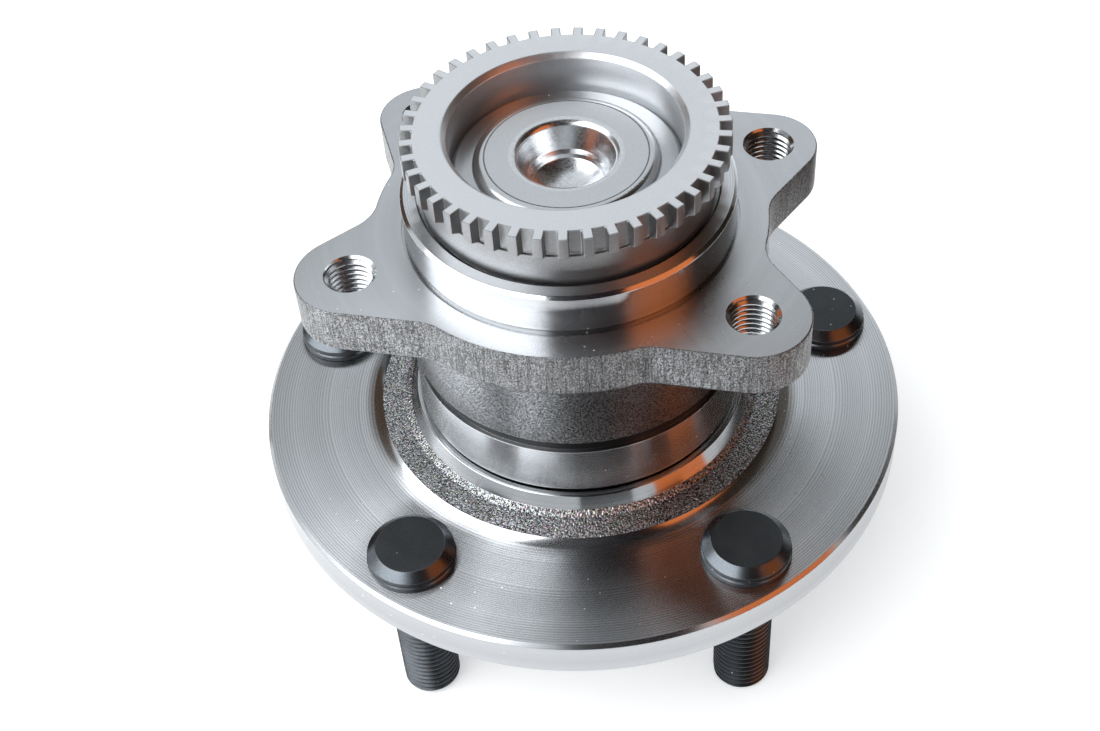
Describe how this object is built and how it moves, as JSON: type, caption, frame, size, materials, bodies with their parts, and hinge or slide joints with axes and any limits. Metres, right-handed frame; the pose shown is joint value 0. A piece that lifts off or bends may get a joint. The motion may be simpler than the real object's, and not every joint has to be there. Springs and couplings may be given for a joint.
{
  "type": "wheel hub bearing",
  "caption": "Flanged wheel hub unit: a hub with pressed-in wheel studs turns on two ball rows in an outer ring with a bolt-on knuckle flange and spigot, under a toothed speed ring.",
  "frame": {"origin": "on the bearing's axis, in the face of the hub flange that the brake disc and wheel are clamped to", "axes": "+Z along the axis from the wheel towards the knuckle, so the wheel studs point to -Z and the tone ring is on top; the knuckle flange is symmetric about the YZ plane, with its closer-set pair of bolt holes on the +Y side"},
  "size_m": [0.1374, 0.1374, 0.1135],
  "materials": {
    "bearing_steel": "forged and turned bearing steel",
    "ground_steel": "ground",
    "sintered_iron": "matt sintered iron, machined top",
    "stud_steel": "black phosphate",
    "ball_steel": "polished",
    "sheet_steel": "pressed sheet",
    "seal_rubber": "matt nitrile rubber",
    "cage_plastic": "glass-filled nylon"
  },
  "bodies": {
    "fixed_side": {"outer_ring": "bearing_steel", "outboard_seal_case": "sheet_steel", "outboard_seal_lips": "seal_rubber", "inboard_seal_case": "sheet_steel", "inboard_seal_lips": "seal_rubber"},
    "turning_side": {"hub": "bearing_steel", "inner_ring": "ground_steel", "tone_ring": "sintered_iron", "inboard_seal_slinger": "sheet_steel", "wheel_stud_1": "stud_steel", "wheel_stud_2": "stud_steel", "wheel_stud_3": "stud_steel", "wheel_stud_4": "stud_steel", "wheel_stud_5": "stud_steel"},
    "outboard_row": {"outboard_cage": "cage_plastic", "outboard_ball_01": "ball_steel", "outboard_ball_02": "ball_steel", "outboard_ball_03": "ball_steel", "outboard_ball_04": "ball_steel", "outboard_ball_05": "ball_steel", "outboard_ball_06": "ball_steel", "outboard_ball_07": "ball_steel", "outboard_ball_08": "ball_steel", "outboard_ball_09": "ball_steel", "outboard_ball_10": "ball_steel", "outboard_ball_11": "ball_steel", "outboard_ball_12": "ball_steel", "outboard_ball_13": "ball_steel", "outboard_ball_14": "ball_steel"},
    "inboard_row": {"inboard_cage": "cage_plastic", "inboard_ball_01": "ball_steel", "inboard_ball_02": "ball_steel", "inboard_ball_03": "ball_steel", "inboard_ball_04": "ball_steel", "inboard_ball_05": "ball_steel", "inboard_ball_06": "ball_steel", "inboard_ball_07": "ball_steel", "inboard_ball_08": "ball_steel", "inboard_ball_09": "ball_steel", "inboard_ball_10": "ball_steel", "inboard_ball_11": "ball_steel", "inboard_ball_12": "ball_steel", "inboard_ball_13": "ball_steel", "inboard_ball_14": "ball_steel"}
  },
  "joints": [
    {"name": "hub_spin", "type": "hinge", "parent": "fixed_side", "child": "turning_side", "pos_m": [0, 0, 0.0405], "axis": [0, 0, 1], "continuous": true},
    {"name": "outboard_row_spin", "type": "hinge", "parent": "fixed_side", "child": "outboard_row", "pos_m": [0, 0, 0.028], "axis": [0, 0, 1], "continuous": true},
    {"name": "inboard_row_spin", "type": "hinge", "parent": "fixed_side", "child": "inboard_row", "pos_m": [0, 0, 0.053], "axis": [0, 0, 1], "continuous": true}
  ],
  "couplings": [
    {"joint": "outboard_row_spin", "follows": "hub_spin", "ratio": 0.421},
    {"joint": "inboard_row_spin", "follows": "hub_spin", "ratio": 0.421}
  ]
}
